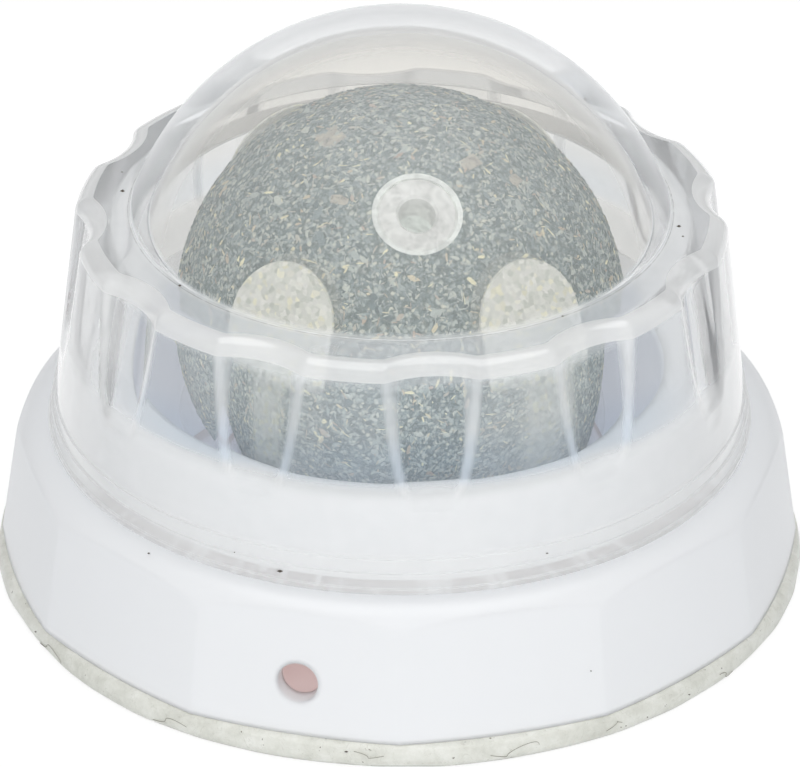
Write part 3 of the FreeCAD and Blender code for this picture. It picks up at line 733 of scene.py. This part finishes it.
def cover_points(rings):
    """Vertices of all rings, where each ring starts, and every layer's value at each vertex."""
    verts, starts = [], []
    layers = {"milk": [], "dark_root": [], "warm": [], "blue_shade": []}

    def mark(*values):
        for layer, value in zip(layers.values(), values):
            layer.append(value)

    root_place = 0
    for place, *rest in rings:
        zone = rest[-1]
        starts.append(len(verts))
        if place == "pole":
            verts.append((0, 0, (DECK + rest[0]) * MM))
            mark(milk_at(zone, 0, rest[0]), 0.0, warm_at(zone), 0.0)
            continue
        root_place = root_place + 1 if zone == "root" else 0
        for column in range(COLUMNS):
            bearing = 360 * column / COLUMNS
            radius, z = place(bearing)
            angle = math.radians(bearing)
            verts.append((radius * math.sin(angle) * MM, -radius * math.cos(angle) * MM,
                          (DECK + z) * MM))
            mark(milk_at(zone, bearing, z), darker_ring_at(zone, root_place), warm_at(zone),
                 bluish_shade_at(zone, bearing, z))
    return verts, starts, layers


def make_cover():
    """One closed mesh: the fluted skirt bends what stands behind it, the thin dome hardly does."""
    rings = cover_rings()
    verts, starts, layers = cover_points(rings)
    ends = [(start, ring[0] == "pole") for start, ring in zip(starts, rings)]
    faces, on_dome = [], []
    for i, ring in enumerate(rings):
        j = (i + 1) % len(rings)
        if ends[i][1] and ends[j][1]:
            continue
        faces += band_faces(ends[i], ends[j], COLUMNS)
        is_dome = bool({ring[-1], rings[j][-1]} & {"dome", "dome_in"})
        on_dome += [int(is_dome)] * COLUMNS
    skirt = cover_material("clear_skirt", ior=1.2, coat=1.0, sheen=0.0, rise=1.8, glow=0.0)
    # The dome's haze has a painted glow; the skirt has none
    dome = cover_material("clear_dome", ior=1.02, coat=0.25, sheen=0.65, rise=5.5, glow=0.2)
    cover = mesh_object("dust_cover_shell", verts, faces, skirt)
    cover.data.materials.append(dome)
    cover.data.polygons.foreach_set("material_index", on_dome)
    for name, values in layers.items():
        layer = cover.data.attributes.new(name, "FLOAT", "POINT")
        layer.data.foreach_set("value", values)
    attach(cover, "cover")
    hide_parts("dust_cover")


# Ball chips

CHIP_COUNT = 26000
CHIP_SIDES = 6

# Shares of the chips, adding up, and the range of each kind's length and width
CHIP_KINDS = [(0.5, (0.4, 1.1), (0.06, 0.13)), (0.92, (0.3, 0.75), (0.14, 0.32)),
              (0.99, (0.6, 1.1), (0.25, 0.5)), (1.0, (0.9, 1.4), (0.4, 0.8))]


def core_direction():
    """Direction from the ball's centre to the eyelet."""
    turn, tilt = math.radians(CORE_BEARING), math.radians(CORE_TILT)
    return Vector((math.sin(turn) * math.cos(tilt), -math.cos(turn) * math.cos(tilt), math.sin(tilt)))


def chip_points(rng, normal, length, width):
    """Outline, top and bottom of one chip, turned at will in the ball's skin and a little tilted."""
    side = normal.orthogonal().normalized()
    side.rotate(Matrix.Rotation(rng.uniform(0, math.tau), 3, normal))
    tip = normal.cross(side)
    tilt = Matrix.Rotation(rng.gauss(0, 0.12), 3, side) @ Matrix.Rotation(rng.gauss(0, 0.1), 3, tip)
    up = tilt @ normal
    side = tilt @ side
    tip = up.cross(side)
    proud = rng.uniform(-0.02, 0.07)
    centre = BALL_CENTRE + normal * (BALL_RADIUS + proud - 0.03)
    thick = rng.uniform(0.05, 0.09)
    points = []
    for k in range(CHIP_SIDES):
        a = math.tau * (k + rng.uniform(-0.25, 0.25)) / CHIP_SIDES
        across = math.cos(a) * length / 2
        along = math.sin(a) * width / 2 * rng.uniform(0.75, 1.15)
        sink = (across ** 2 + along ** 2) / (2 * BALL_RADIUS)
        points.append((centre + side * across + tip * along - up * sink) * MM)
    points.append((centre + up * thick * 0.5) * MM)
    points.append((centre - up * thick) * MM)
    return points


def make_chips():
    """Chips pressed into the ball: thin closed flakes lying in its skin, none over the core."""
    rng = random.Random(7)
    core = core_direction()
    verts, faces = [], []
    made = 0
    while made < CHIP_COUNT:
        normal = Vector((rng.gauss(0, 1), rng.gauss(0, 1), rng.gauss(0, 1))).normalized()
        kind = rng.random()
        lengths, widths = next(kinds for share, *kinds in CHIP_KINDS if kind < share)
        length, width = rng.uniform(*lengths), rng.uniform(*widths)
        if abs(normal.dot(core)) > math.cos(math.asin((CORE_CLEAR + length / 2) / BALL_RADIUS)):
            continue
        made += 1
        faces += flake_faces(len(verts), CHIP_SIDES)
        verts += chip_points(rng, normal, length, width)
    chips = mesh_object("silvervine_chips", verts, faces, chip_material(), smooth=False)
    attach(chips, "ball")


# Direction from the ball's centre, length and width of each scrap of bark
SCRAPS = [((-0.312, -0.146, 0.939), 2.1, 1.9), ((0.298, -0.309, 0.904), 1.5, 1.0),
          ((-0.266, -0.505, 0.821), 1.2, 0.7), ((0.5, -0.3, 0.81), 1.0, 0.8),
          ((-0.6, 0.5, 0.62), 1.9, 1.3), ((0.4, 0.75, 0.53), 1.6, 1.2),
          ((0.85, 0.2, 0.3), 1.5, 1.1)]
SCRAP_OUTLINE = [(-1, -1), (0, -1.05), (1, -1), (1.05, 0), (1, 1), (0, 1.05), (-1, 1), (-1.05, 0)]
SCRAP_TOP = 0.09
SCRAP_BOTTOM = -0.12


def bark_material():
    """Scraps of bark: beige with a fine grain."""
    mat, tree, out = new_material("bark")
    bsdf = principled(tree, srgb(184, 180, 168), 0.8)
    grain = noise(tree, object_coords(tree), 1800, 4, 0.6, 1.0)
    tones = ramp(tree, grain.outputs["Fac"], [
        (0.3, srgb(140, 142, 136)), (0.5, srgb(184, 180, 168)), (0.7, srgb(204, 198, 184))])
    tree.links.new(tones, bsdf.inputs["Base Color"])
    bump(tree, grain.outputs["Fac"], 0.4, 0.0001, bsdf.inputs["Normal"])
    tree.links.new(bsdf.outputs[0], out.inputs["Surface"])
    return mat


def make_scraps():
    """The few larger scraps of bark among the chips."""
    rng = random.Random(5)
    verts, faces = [], []
    for direction, length, width in SCRAPS:
        normal = Vector(direction).normalized()
        side = Vector((0, 0, 1)).cross(normal).normalized()
        other = normal.cross(side)
        faces += flake_faces(len(verts), len(SCRAP_OUTLINE))
        for along, across in SCRAP_OUTLINE:
            reach = normal * BALL_RADIUS + (side * along * length + other * across * width) * 0.5
            reach = reach.normalized() * (BALL_RADIUS + 0.02 + rng.uniform(-0.02, 0.03))
            reach += side * rng.uniform(-0.12, 0.12) + other * rng.uniform(-0.12, 0.12)
            verts.append((BALL_CENTRE + reach) * MM)
        for height in (SCRAP_TOP, SCRAP_BOTTOM):
            verts.append((BALL_CENTRE + normal * (BALL_RADIUS + height)) * MM)
    scraps = mesh_object("bark_scraps", verts, faces, bark_material(), smooth=False)
    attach(scraps, "ball")


# Gel pad and dust

PAD_TOP = 1.75
PAD_STILL = 25.0
PAD_WAVE = 0.3
PAD_LIFT = 0.12
PAD_LIFT_SHIFT = 1.3
PAD_EDGE = (0.2, 1.6)

# Radius and height along the pad's section, from the middle of its underside to that of its top
PAD_PROFILE = [(0.0, 0.0), (20.0, 0.0), (29.6, 0.0), (30.15, 0.12), (30.4, 0.5), (30.35, 1.0),
               (30.2, 1.45), (29.8, 1.7), (29.3, PAD_TOP), (20.0, PAD_TOP), (0.0, PAD_TOP)]


def pad_waves():
    """Waves of the pad's rim: how many go round, the phase and the share of each."""
    rng = random.Random(3)
    waves = [(k, rng.uniform(0, math.tau), rng.uniform(0.2, 1.0) / (k ** 0.7)) for k in
             (2, 3, 5, 7, 9, 13, 17, 23, 31, 41)]
    total = sum(wave[2] for wave in waves)
    return [(k, phase, size / total) for k, phase, size in waves]


WAVES = pad_waves()


def pad_rim(angle):
    """How far the pad's rim wanders out or in at a bearing, as a share of PAD_WAVE."""
    return sum(size * math.sin(k * angle + phase) for k, phase, size in WAVES)


def pad_point(radius, z, angle):
    """A point of the pad: its rim wanders out and in, and up and down between its two faces."""
    if radius > PAD_STILL:
        radius += PAD_WAVE * pad_rim(angle)
        if PAD_EDGE[0] < z < PAD_EDGE[1]:
            z += PAD_LIFT * pad_rim(angle + PAD_LIFT_SHIFT)
    return (radius * math.sin(angle) * MM, -radius * math.cos(angle) * MM, z * MM)


def make_pad():
    """The gel pad with the uneven rim it has where it was cut and pressed."""
    columns = 360
    verts, faces, ends = [], [], []
    for radius, z in PAD_PROFILE:
        ends.append((len(verts), radius == 0))
        for c in range(1 if radius == 0 else columns):
            verts.append(pad_point(radius, z, math.tau * c / columns))
    for first, second in zip(ends, ends[1:]):
        faces += band_faces(first, second, columns)
    pad = mesh_object("gel_pad", verts, faces, gel_material())
    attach(pad, "base")
    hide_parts("adhesive_pad")


def dust_material(name, color):
    """Dry dust, its colour uneven."""
    mat, tree, out = new_material(name)
    bsdf = principled(tree, color, 0.8)
    speckle = noise(tree, object_coords(tree), 5000, 2)
    dark = tuple(c * 0.6 for c in color)
    tree.links.new(mix_color(tree, speckle.outputs["Fac"], dark, color), bsdf.inputs["Base Color"])
    tree.links.new(bsdf.outputs[0], out.inputs["Surface"])
    return mat


def around(bearing, radius, z):
    """A point at a bearing in degrees from the front, a radius and a height in mm."""
    turn = math.radians(bearing)
    return Vector((radius * math.sin(turn), -radius * math.cos(turn), z)) * MM


def tube(points, radius):
    """Closed tube of four sides along points."""
    verts, faces = [], []
    for i, point in enumerate(points):
        ahead = points[min(i + 1, len(points) - 1)] - points[max(i - 1, 0)]
        side = ahead.orthogonal().normalized()
        other = ahead.normalized().cross(side)
        for turn in range(4):
            a = math.tau * turn / 4
            verts.append(point + (side * math.cos(a) + other * math.sin(a)) * radius)
    for i in range(len(points) - 1):
        for turn in range(4):
            n = (turn + 1) % 4
            faces.append((4 * i + turn, 4 * i + n, 4 * i + 4 + n, 4 * i + 4 + turn))
    last = 4 * (len(points) - 1)
    faces.append((3, 2, 1, 0))
    faces.append((last, last + 1, last + 2, last + 3))
    return verts, faces


HAIR_RADIUS = 0.02
HAIR_SEAT = 30.42
HAIR_LEAN = 0.25
HAIR_LEAN_FROM = 1.0
HAIR_SWAY = 0.6
HAIR_SWAY_LOOPS = 1.7
HAIR_STEPS = 24

# Bearing, reach in degrees, height, rise and loops of each hair
HAIRS = [(16.0, 7.0, 0.9, 0.4, 0.9), (-4.0, 4.0, 1.2, 0.25, 0.6), (-33.0, 5.0, 0.8, 0.3, 0.7),
         (31.0, 3.0, 0.9, 0.35, 0.5), (-58.0, 6.0, 0.8, 0.3, 0.8), (52.0, 3.0, 0.7, 0.3, 0.6),
         (120.0, 6.0, 0.9, 0.4, 0.8), (-140.0, 5.0, 0.9, 0.4, 0.7)]


def make_hairs():
    """Short curled hairs stuck to the rim of the pad."""
    verts, faces = [], []
    for bearing, reach, height, rise, loops in HAIRS:
        points = []
        for step in range(HAIR_STEPS + 1):
            t = step / HAIR_STEPS
            sway = HAIR_SWAY * math.sin(math.tau * loops * t * HAIR_SWAY_LOOPS)
            turn = bearing + reach * (t - 0.5) + sway
            z = height + rise * math.sin(math.tau * loops * t + bearing)
            seat = HAIR_SEAT - HAIR_LEAN * max(0.0, z - HAIR_LEAN_FROM)
            radius = seat + PAD_WAVE * pad_rim(math.radians(turn))
            points.append(around(turn, radius, z))
        new_verts, new_faces = tube(points, HAIR_RADIUS * MM)
        faces.extend(tuple(len(verts) + k for k in face) for face in new_faces)
        verts.extend(new_verts)
    hairs = mesh_object("pad_hairs", verts, faces, dust_material("hair", srgb(166, 162, 150)))
    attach(hairs, "base")


# Bearing, radius, height and size of each crumb of dust
COVER_SPECKS = [(82.0, 20.5, 29.25, 0.2), (78.0, 21.0, 29.25, 0.13), (-96.0, 20.6, 29.25, 0.22),
                (-104.0, 21.3, 29.25, 0.1), (-52.0, 20.05, 29.4, 0.16), (35.0, 20.1, 29.35, 0.12),
                (-19.0, 26.05, 13.0, 0.2), (-27.0, 25.9, 13.6, 0.09), (24.0, 25.9, 14.0, 0.1),
                (140.0, 20.6, 29.25, 0.18), (-150.0, 26.05, 13.0, 0.15)]
BASE_SPECKS = [(-7.0, 30.4, 1.3, 0.16), (-38.0, 30.35, 0.8, 0.14), (-62.0, 30.3, 1.2, 0.12),
               (44.0, 30.4, 0.9, 0.1), (-41.0, 27.4, 12.0, 0.12), (28.0, 29.35, 5.5, 0.1)]


def make_specks(name, places, body, seed):
    """Crumbs of dust that ride on a body."""
    rng = random.Random(seed)
    verts, faces = [], []
    for bearing, radius, z, size in places:
        centre = around(bearing, radius, z)
        base = len(verts)
        for axis in ((1, 0, 0), (-1, 0, 0), (0, 1, 0), (0, -1, 0), (0, 0, 0.6), (0, 0, -0.6)):
            verts.append(centre + Vector(axis) * size * rng.uniform(0.6, 1.2) * MM)
        for a, b in ((0, 2), (2, 1), (1, 3), (3, 0)):
            faces.append((base + a, base + b, base + 4))
            faces.append((base + b, base + a, base + 5))
    specks = mesh_object(name, verts, faces, dust_material(name, srgb(96, 88, 80)), smooth=False)
    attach(specks, body)


# The object

white = white_plastic()
set_material("base_shell", white)
set_material("bottom_plate", white)
set_material("claw_cup", frosted_plastic())
set_material("silvervine_ball", ball_ground())
# The last number is each plastic's painted glow
set_material("core_tube", core_plastic("core_tube_plastic", srgb(210, 215, 213), 0.33))
plug = core_plastic("core_plug_plastic", srgb(222, 224, 222), 0.08)
set_material("core_plug_upper", plug)
set_material("core_plug_lower", plug)
make_cover()
make_chips()
make_scraps()
make_pad()
make_hairs()
make_specks("cover_specks", COVER_SPECKS, "cover", 11)
make_specks("base_specks", BASE_SPECKS, "base", 12)


# Floor, lights, camera

FLOOR_REACH = 3.0
FLOOR_DROP = 0.1


def floor_material():
    """White ground: a plain diffuse one to the light, an even glow with soft shade to the eye."""
    mat, tree, out = new_material("floor")
    diffuse = tree.nodes.new("ShaderNodeBsdfDiffuse")
    diffuse.inputs["Color"].default_value = (0.85, 0.86, 0.87, 1)
    seen = tree.nodes.new("ShaderNodeBsdfDiffuse")
    seen.inputs["Color"].default_value = (0.3, 0.3, 0.3, 1)
    glow = tree.nodes.new("ShaderNodeEmission")
    glow.inputs["Strength"].default_value = 0.8
    both = tree.nodes.new("ShaderNodeAddShader")
    tree.links.new(seen.outputs[0], both.inputs[0])
    tree.links.new(glow.outputs[0], both.inputs[1])
    path = tree.nodes.new("ShaderNodeLightPath")
    rays = math_node(tree, "MAXIMUM", path.outputs["Is Camera Ray"],
                     math_node(tree, "MAXIMUM", path.outputs["Is Glossy Ray"],
                               path.outputs["Is Transmission Ray"]))
    tree.links.new(mix_shader(tree, rays, diffuse.outputs[0], both.outputs[0]), out.inputs["Surface"])
    return mat


def make_floor():
    corners = [(x * FLOOR_REACH, y * FLOOR_REACH, 0) for x, y in ((-1, -1), (1, -1), (1, 1), (-1, 1))]
    floor = mesh_object("floor", corners, [(0, 1, 2, 3)], floor_material(), smooth=False)
    floor.location.z = -FLOOR_DROP * MM


LIGHT_TARGET = Vector((0, 0, 20)) * MM


def area_light(name, place, size, power):
    """A rectangular lamp that looks at the toy and isn't seen in gloss or through glass."""
    light = bpy.data.lights.new(name, "AREA")
    light.shape = "RECTANGLE"
    light.size, light.size_y = size
    light.energy = power
    obj = bpy.data.objects.new(name, light)
    obj.location = place
    obj.rotation_euler = (LIGHT_TARGET - Vector(place)).to_track_quat("-Z", "Y").to_euler()
    obj.visible_glossy = False
    obj.visible_transmission = False
    scene.collection.objects.link(obj)


def background(tree, color, strength):
    made = tree.nodes.new("ShaderNodeBackground")
    made.inputs["Color"].default_value = (*color, 1)
    if isinstance(strength, float):
        made.inputs["Strength"].default_value = strength
    else:
        tree.links.new(strength, made.inputs["Strength"])
    return made.outputs[0]


def make_world():
    """Soft white surround, brighter overhead; glass and the camera see plain white round it."""
    world = bpy.data.worlds.new("surround")
    scene.world = world
    world.use_nodes = True
    tree = world.node_tree
    tree.nodes.clear()
    out = tree.nodes.new("ShaderNodeOutputWorld")
    up = xyz(tree, tree.nodes.new("ShaderNodeTexCoord").outputs["Generated"])["Z"]
    light = background(tree, (0.96, 0.98, 1.0), map_range(tree, up, -0.1, 1.0, 0.5, 0.54, smooth=True))
    sky = math_node(tree, "ADD", map_range(tree, up, 0.0, 0.6, 0.72, 1.0),
                    map_range(tree, up, 0.86, 0.93, 0.0, 3.0, smooth=True))
    shine = background(tree, (0.8, 0.8, 0.8), sky)
    seen = background(tree, (1, 1, 1), 1.0)
    path = tree.nodes.new("ShaderNodeLightPath")
    lit = mix_shader(tree, path.outputs["Is Glossy Ray"], light, shine)
    rays = math_node(tree, "MAXIMUM", path.outputs["Is Camera Ray"],
                     path.outputs["Is Transmission Ray"])
    tree.links.new(mix_shader(tree, rays, lit, seen), out.inputs["Surface"])


CAMERA_PLACE = (0, -0.38893, 0.23897)
CAMERA_LENS = 270.85
CAMERA_DOWN = 30.02
CAMERA_ROLL = 0.27


def make_camera():
    """The photo's own camera, as solved on the toy's round rims."""
    data = bpy.data.cameras.new("camera")
    data.sensor_width = 36
    data.lens = CAMERA_LENS
    camera = bpy.data.objects.new("camera", data)
    camera.matrix_world = (Matrix.Translation(CAMERA_PLACE)
                           @ Euler((math.radians(90 - CAMERA_DOWN), 0, 0)).to_matrix().to_4x4()
                           @ Matrix.Rotation(math.radians(CAMERA_ROLL), 4, "Z"))
    scene.collection.objects.link(camera)
    scene.camera = camera


make_floor()
make_world()
area_light("top_softbox", place=(0.0, 0.0, 0.6), size=(0.5, 0.4), power=0.4)
area_light("front_fill", place=(0.0, -0.6, 0.35), size=(0.5, 0.3), power=1.85)
make_camera()
